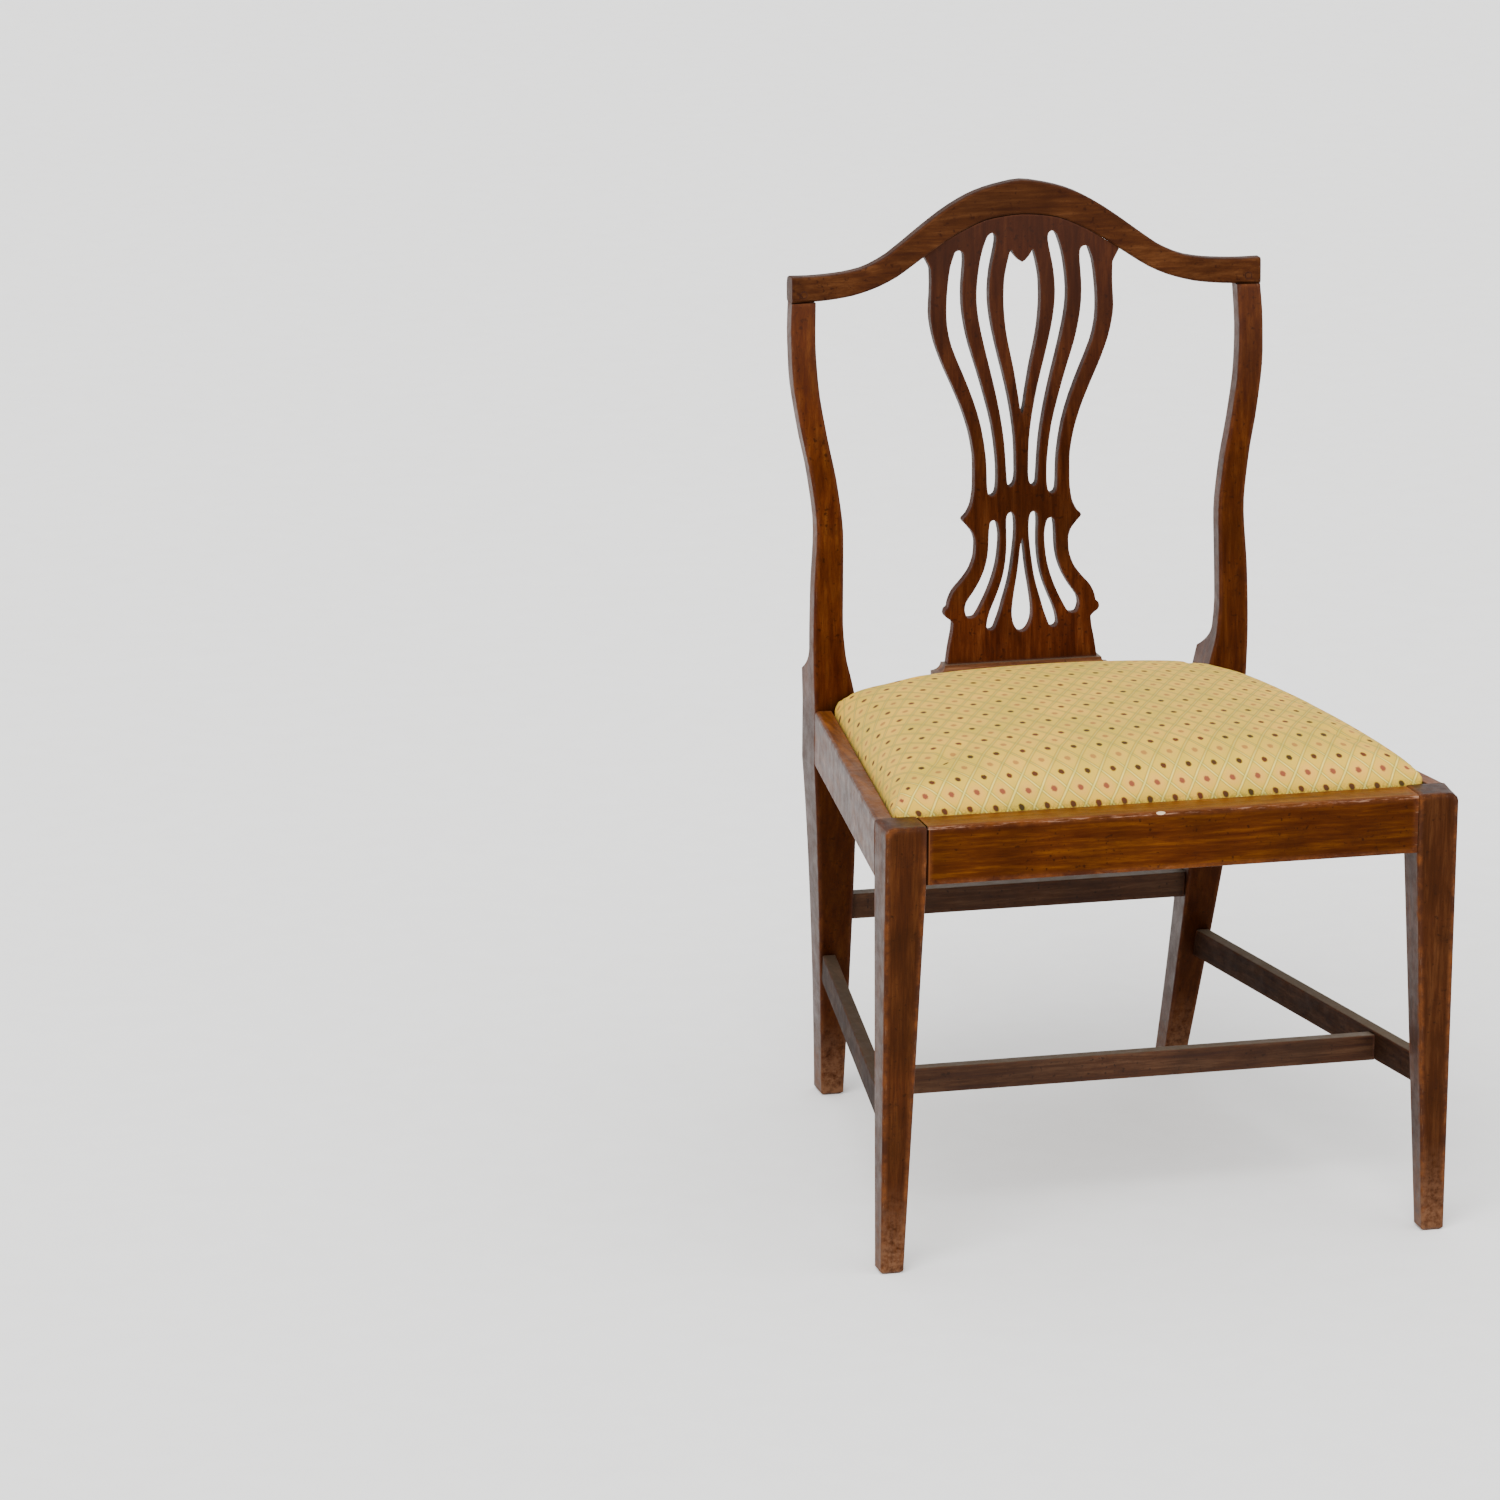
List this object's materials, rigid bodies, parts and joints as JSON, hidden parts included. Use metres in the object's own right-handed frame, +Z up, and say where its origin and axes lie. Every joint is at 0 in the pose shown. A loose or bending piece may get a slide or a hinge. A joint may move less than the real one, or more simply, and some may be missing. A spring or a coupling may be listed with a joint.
{
  "type": "dining side chair",
  "caption": "Side chair with a shield-shaped back, a pierced splat, tapered legs with stretchers and a loose drop-in padded seat.",
  "frame": {"origin": "on the floor, at the middle of the chair's bounding box in plan", "axes": "+Z up, the chair faces -Y, and +X is to the right as seen from the front"},
  "size_m": [0.55, 0.5584, 0.919],
  "materials": {
    "mahogany": "old waxed mahogany, red brown, worn pale on the arrises",
    "beech": "plain unfinished beech",
    "damask": "straw-gold woven silk and cotton with a trellis of diamonds and dots",
    "linen": "coarse jute webbing and hessian",
    "horsehair": "matted curled hair",
    "iron": "blued cut tacks"
  },
  "bodies": {
    "frame": {"front_leg_left": "mahogany", "front_leg_right": "mahogany", "back_post_left": "mahogany", "back_post_right": "mahogany", "front_seat_rail": "mahogany", "side_seat_rail_left": "mahogany", "side_seat_rail_right": "mahogany", "back_seat_rail": "mahogany", "side_stretcher_left": "mahogany", "side_stretcher_right": "mahogany", "medial_stretcher": "mahogany", "rear_stretcher": "mahogany", "front_corner_block_left": "beech", "front_corner_block_right": "beech", "back_corner_block_left": "beech", "back_corner_block_right": "beech", "crest_rail": "mahogany", "splat": "mahogany", "splat_shoe": "mahogany", "crest_peg_left": "mahogany", "crest_peg_right": "mahogany"},
    "seat": {"seat_frame_front": "beech", "seat_frame_back": "beech", "seat_frame_side_left": "beech", "seat_frame_side_right": "beech", "webbing_front_to_back_1": "linen", "webbing_front_to_back_2": "linen", "webbing_front_to_back_3": "linen", "webbing_front_to_back_4": "linen", "webbing_front_to_back_5": "linen", "webbing_side_to_side_1": "linen", "webbing_side_to_side_2": "linen", "webbing_side_to_side_3": "linen", "seat_hessian": "linen", "seat_stuffing": "horsehair", "seat_cover": "damask", "seat_tack_1": "iron", "seat_tack_2": "iron", "seat_tack_3": "iron", "seat_tack_4": "iron", "seat_tack_5": "iron", "seat_tack_6": "iron", "seat_tack_7": "iron", "seat_tack_8": "iron", "seat_tack_9": "iron", "seat_tack_10": "iron", "seat_tack_11": "iron", "seat_tack_12": "iron", "seat_tack_13": "iron", "seat_tack_14": "iron", "seat_tack_15": "iron", "seat_tack_16": "iron"}
  },
  "joints": [
    {"name": "seat_lift", "type": "slide", "parent": "frame", "child": "seat", "axis": [0, 0, 1], "range_m": [0, 0.15]}
  ]
}
